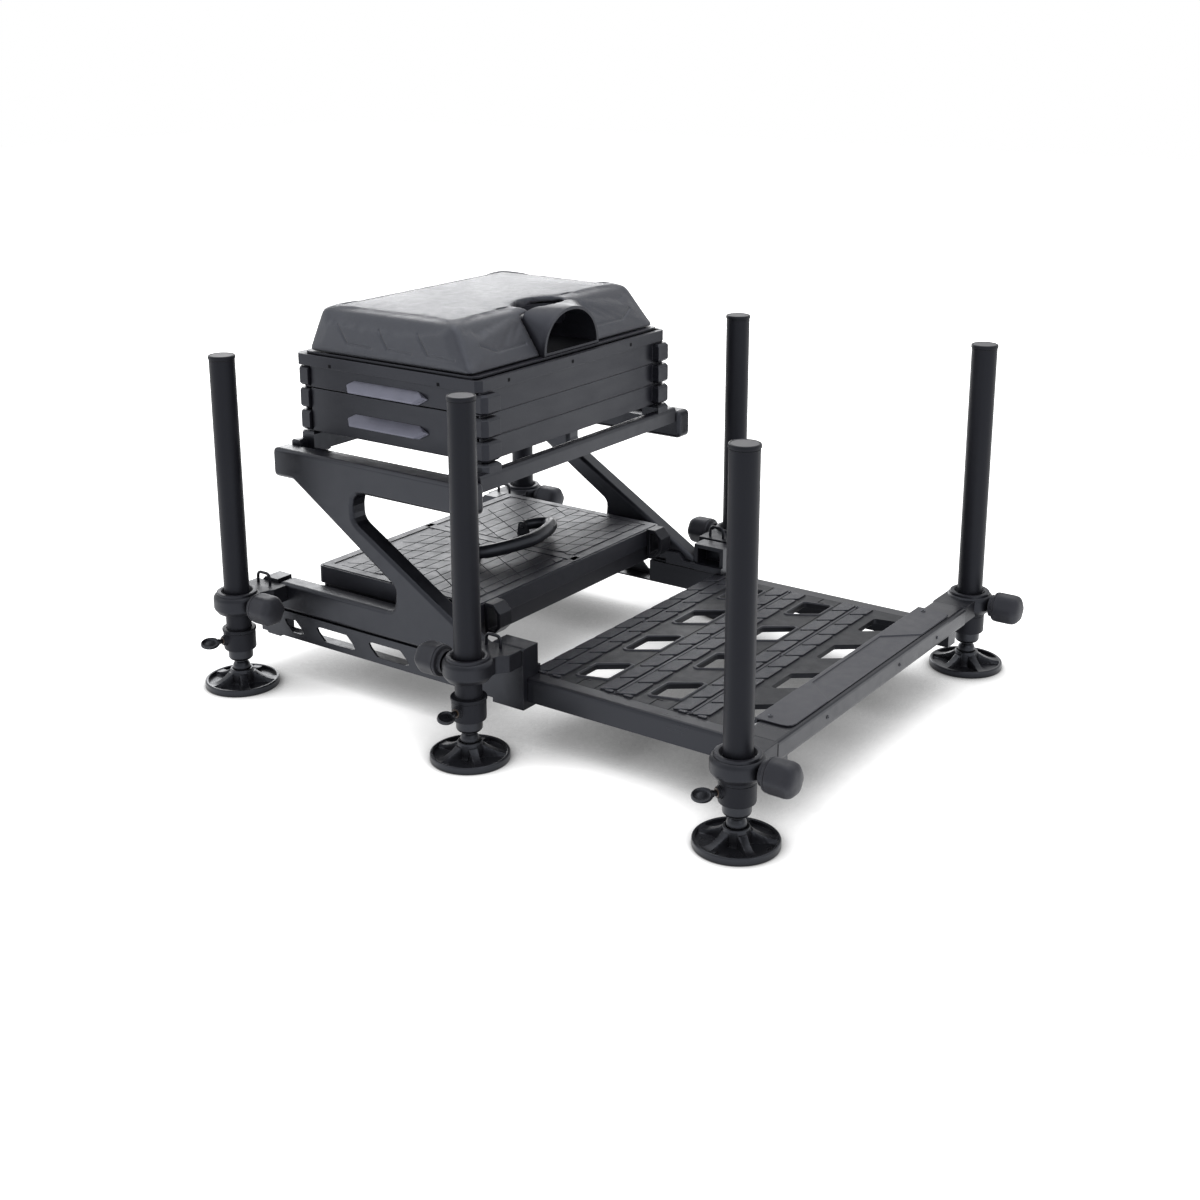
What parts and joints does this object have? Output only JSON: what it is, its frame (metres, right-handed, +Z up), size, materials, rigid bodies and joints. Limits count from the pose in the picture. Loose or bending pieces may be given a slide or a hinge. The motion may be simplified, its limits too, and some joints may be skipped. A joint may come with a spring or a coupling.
{
  "type": "fishing seat box",
  "caption": "Fishing seat box with a padded drawer cassette on angled side frames, a lower deck, telescopic clamped legs with disc feet and a slide-out footplate.",
  "frame": {"origin": "middle of the bounding box on the floor under the feet", "axes": "+X from the seat towards the footplate, +Y to the side away from the drawer fronts, +Z up"},
  "size_m": [0.968, 0.774, 0.5471],
  "materials": {
    "anodised_tube": "satin black anodised",
    "powder_coat": "fine satin powder coat",
    "moulded_black": "satin moulded",
    "stem_plastic": "satin moulded",
    "foot_rubber": "satin",
    "knob_rubber": "soft touch",
    "tread_moulding": "fine grained",
    "deck_moulding": "fine grained",
    "seat_foam": "textured, moulded over foam",
    "pull_metal": "satin"
  },
  "bodies": {
    "frame": {"side_arm_right": "powder_coat", "side_arm_left": "powder_coat", "side_rail_right": "powder_coat", "side_rail_left": "powder_coat", "rear_crossbar": "powder_coat", "seat_base_frame": "powder_coat", "lower_drawer_case": "powder_coat", "upper_drawer_case": "powder_coat", "top_tray": "powder_coat", "deck_tray": "moulded_black", "leg_clamp_rear_right": "moulded_black", "leg_clamp_front_right": "moulded_black", "leg_clamp_rear_left": "moulded_black", "leg_clamp_front_left": "moulded_black"},
    "footplate": {"footplate_frame": "powder_coat", "footplate_panel": "tread_moulding", "front_bar_cover": "moulded_black", "leg_clamp_plate_right": "moulded_black", "leg_clamp_plate_left": "moulded_black"},
    "leg_rear_right": {"leg_tube_rear_right": "anodised_tube"},
    "stem_rear_right": {"leg_stem_rear_right": "stem_plastic"},
    "disc_rear_right": {"foot_rear_right": "foot_rubber"},
    "knob_rear_right": {"clamp_knob_rear_right": "knob_rubber"},
    "wing_rear_right": {"wing_screw_rear_right": "stem_plastic"},
    "leg_front_right": {"leg_tube_front_right": "anodised_tube"},
    "stem_front_right": {"leg_stem_front_right": "stem_plastic"},
    "disc_front_right": {"foot_front_right": "foot_rubber"},
    "knob_front_right": {"clamp_knob_front_right": "knob_rubber"},
    "wing_front_right": {"wing_screw_front_right": "stem_plastic"},
    "leg_plate_right": {"leg_tube_plate_right": "anodised_tube"},
    "stem_plate_right": {"leg_stem_plate_right": "stem_plastic"},
    "disc_plate_right": {"foot_plate_right": "foot_rubber"},
    "knob_plate_right": {"clamp_knob_plate_right": "knob_rubber"},
    "wing_plate_right": {"wing_screw_plate_right": "stem_plastic"},
    "leg_rear_left": {"leg_tube_rear_left": "anodised_tube"},
    "stem_rear_left": {"leg_stem_rear_left": "stem_plastic"},
    "disc_rear_left": {"foot_rear_left": "foot_rubber"},
    "knob_rear_left": {"clamp_knob_rear_left": "knob_rubber"},
    "wing_rear_left": {"wing_screw_rear_left": "stem_plastic"},
    "leg_front_left": {"leg_tube_front_left": "anodised_tube"},
    "stem_front_left": {"leg_stem_front_left": "stem_plastic"},
    "disc_front_left": {"foot_front_left": "foot_rubber"},
    "knob_front_left": {"clamp_knob_front_left": "knob_rubber"},
    "wing_front_left": {"wing_screw_front_left": "stem_plastic"},
    "leg_plate_left": {"leg_tube_plate_left": "anodised_tube"},
    "stem_plate_left": {"leg_stem_plate_left": "stem_plastic"},
    "disc_plate_left": {"foot_plate_left": "foot_rubber"},
    "knob_plate_left": {"clamp_knob_plate_left": "knob_rubber"},
    "wing_plate_left": {"wing_screw_plate_left": "stem_plastic"},
    "lower_drawer": {"lower_drawer": "powder_coat", "lower_drawer_pull": "pull_metal"},
    "upper_drawer": {"upper_drawer": "powder_coat", "upper_drawer_pull": "pull_metal"},
    "seat": {"seat_lid": "moulded_black", "seat_cushion": "seat_foam", "seat_hand_hold": "moulded_black"},
    "deck_lid": {"deck_lid": "deck_moulding"},
    "carry_handle": {"carry_handle": "knob_rubber"},
    "deck_latch_right": {"deck_latch_right": "moulded_black"},
    "deck_latch_left": {"deck_latch_left": "moulded_black"}
  },
  "joints": [
    {"name": "footplate_slide", "type": "slide", "parent": "frame", "child": "footplate", "axis": [1, 0, 0], "range_m": [-0.29, 0]},
    {"name": "leg_slide_rear_right", "type": "slide", "parent": "frame", "child": "leg_rear_right", "axis": [0, 0, 1], "range_m": [-0.335, 0.0235]},
    {"name": "stem_slide_rear_right", "type": "slide", "parent": "leg_rear_right", "child": "stem_rear_right", "axis": [0, 0, 1], "range_m": [-0.18, 0]},
    {"name": "foot_tilt_rear_right", "type": "hinge", "parent": "stem_rear_right", "child": "disc_rear_right", "pos_m": [-0.431, -0.334, 0.027], "axis": [0, 1, 0], "range_deg": [-15, 15]},
    {"name": "knob_turn_rear_right", "type": "hinge", "parent": "frame", "child": "knob_rear_right", "pos_m": [-0.391, -0.334, 0.126], "axis": [1, 0, 0], "range_deg": [0, 180]},
    {"name": "wing_turn_rear_right", "type": "hinge", "parent": "leg_rear_right", "child": "wing_rear_right", "pos_m": [-0.44123, -0.36747, 0.072], "axis": [-0.2924, -0.9563, 0], "range_deg": [0, 180]},
    {"name": "leg_slide_front_right", "type": "slide", "parent": "frame", "child": "leg_front_right", "axis": [0, 0, 1], "range_m": [-0.335, 0.0235]},
    {"name": "stem_slide_front_right", "type": "slide", "parent": "leg_front_right", "child": "stem_front_right", "axis": [0, 0, 1], "range_m": [-0.18, 0]},
    {"name": "foot_tilt_front_right", "type": "hinge", "parent": "stem_front_right", "child": "disc_front_right", "pos_m": [-0.001, -0.334, 0.027], "axis": [0, 1, 0], "range_deg": [-15, 15]},
    {"name": "knob_turn_front_right", "type": "hinge", "parent": "frame", "child": "knob_front_right", "pos_m": [-0.041, -0.334, 0.126], "axis": [-1, 0, 0], "range_deg": [0, 180]},
    {"name": "wing_turn_front_right", "type": "hinge", "parent": "leg_front_right", "child": "wing_front_right", "pos_m": [-0.001, -0.369, 0.072], "axis": [0, -1, 0], "range_deg": [0, 180]},
    {"name": "leg_slide_plate_right", "type": "slide", "parent": "footplate", "child": "leg_plate_right", "axis": [0, 0, 1], "range_m": [-0.335, 0]},
    {"name": "stem_slide_plate_right", "type": "slide", "parent": "leg_plate_right", "child": "stem_plate_right", "axis": [0, 0, 1], "range_m": [-0.18, 0]},
    {"name": "foot_tilt_plate_right", "type": "hinge", "parent": "stem_plate_right", "child": "disc_plate_right", "pos_m": [0.404, -0.334, 0.027], "axis": [0, 1, 0], "range_deg": [-15, 15]},
    {"name": "knob_turn_plate_right", "type": "hinge", "parent": "footplate", "child": "knob_plate_right", "pos_m": [0.444, -0.334, 0.10165], "axis": [1, 0, 0], "range_deg": [0, 180]},
    {"name": "wing_turn_plate_right", "type": "hinge", "parent": "leg_plate_right", "child": "wing_plate_right", "pos_m": [0.38597, -0.364, 0.072], "axis": [-0.515, -0.8572, 0], "range_deg": [0, 180]},
    {"name": "leg_slide_rear_left", "type": "slide", "parent": "frame", "child": "leg_rear_left", "axis": [0, 0, 1], "range_m": [-0.335, 0.0235]},
    {"name": "stem_slide_rear_left", "type": "slide", "parent": "leg_rear_left", "child": "stem_rear_left", "axis": [0, 0, 1], "range_m": [-0.18, 0]},
    {"name": "foot_tilt_rear_left", "type": "hinge", "parent": "stem_rear_left", "child": "disc_rear_left", "pos_m": [-0.431, 0.334, 0.027], "axis": [0, 1, 0], "range_deg": [-15, 15]},
    {"name": "knob_turn_rear_left", "type": "hinge", "parent": "frame", "child": "knob_rear_left", "pos_m": [-0.391, 0.334, 0.126], "axis": [1, 0, 0], "range_deg": [0, 180]},
    {"name": "wing_turn_rear_left", "type": "hinge", "parent": "leg_rear_left", "child": "wing_rear_left", "pos_m": [-0.44123, 0.36747, 0.072], "axis": [-0.2924, 0.9563, 0], "range_deg": [0, 180]},
    {"name": "leg_slide_front_left", "type": "slide", "parent": "frame", "child": "leg_front_left", "axis": [0, 0, 1], "range_m": [-0.335, 0.0235]},
    {"name": "stem_slide_front_left", "type": "slide", "parent": "leg_front_left", "child": "stem_front_left", "axis": [0, 0, 1], "range_m": [-0.18, 0]},
    {"name": "foot_tilt_front_left", "type": "hinge", "parent": "stem_front_left", "child": "disc_front_left", "pos_m": [-0.001, 0.334, 0.027], "axis": [0, 1, 0], "range_deg": [-15, 15]},
    {"name": "knob_turn_front_left", "type": "hinge", "parent": "frame", "child": "knob_front_left", "pos_m": [-0.041, 0.334, 0.126], "axis": [-1, 0, 0], "range_deg": [0, 180]},
    {"name": "wing_turn_front_left", "type": "hinge", "parent": "leg_front_left", "child": "wing_front_left", "pos_m": [-0.001, 0.369, 0.072], "axis": [0, 1, 0], "range_deg": [0, 180]},
    {"name": "leg_slide_plate_left", "type": "slide", "parent": "footplate", "child": "leg_plate_left", "axis": [0, 0, 1], "range_m": [-0.335, 0]},
    {"name": "stem_slide_plate_left", "type": "slide", "parent": "leg_plate_left", "child": "stem_plate_left", "axis": [0, 0, 1], "range_m": [-0.18, 0]},
    {"name": "foot_tilt_plate_left", "type": "hinge", "parent": "stem_plate_left", "child": "disc_plate_left", "pos_m": [0.404, 0.334, 0.027], "axis": [0, 1, 0], "range_deg": [-15, 15]},
    {"name": "knob_turn_plate_left", "type": "hinge", "parent": "footplate", "child": "knob_plate_left", "pos_m": [0.444, 0.334, 0.10165], "axis": [1, 0, 0], "range_deg": [0, 180]},
    {"name": "wing_turn_plate_left", "type": "hinge", "parent": "leg_plate_left", "child": "wing_plate_left", "pos_m": [0.38597, 0.364, 0.072], "axis": [-0.515, 0.8572, 0], "range_deg": [0, 180]},
    {"name": "lower_drawer_slide", "type": "slide", "parent": "frame", "child": "lower_drawer", "axis": [0, -1, 0], "range_m": [0, 0.3]},
    {"name": "upper_drawer_slide", "type": "slide", "parent": "frame", "child": "upper_drawer", "axis": [0, -1, 0], "range_m": [0, 0.3]},
    {"name": "seat_lid_hinge", "type": "hinge", "parent": "frame", "child": "seat", "pos_m": [-0.3942, 0, 0.4797], "axis": [0, -1, 0], "range_deg": [0, 85]},
    {"name": "deck_lid_hinge", "type": "hinge", "parent": "frame", "child": "deck_lid", "pos_m": [-0.376, 0, 0.13615], "axis": [0, -1, 0], "range_deg": [0, 30]},
    {"name": "carry_handle_hinge", "type": "hinge", "parent": "deck_lid", "child": "carry_handle", "pos_m": [-0.215, 0, 0.177], "axis": [0, -1, 0], "range_deg": [0, 132]},
    {"name": "deck_latch_hinge_right", "type": "hinge", "parent": "frame", "child": "deck_latch_right", "pos_m": [-0.0684, -0.2, 0.123], "axis": [0, 1, 0], "range_deg": [0, 60]},
    {"name": "deck_latch_hinge_left", "type": "hinge", "parent": "frame", "child": "deck_latch_left", "pos_m": [-0.0684, 0.2, 0.123], "axis": [0, 1, 0], "range_deg": [0, 60]}
  ]
}
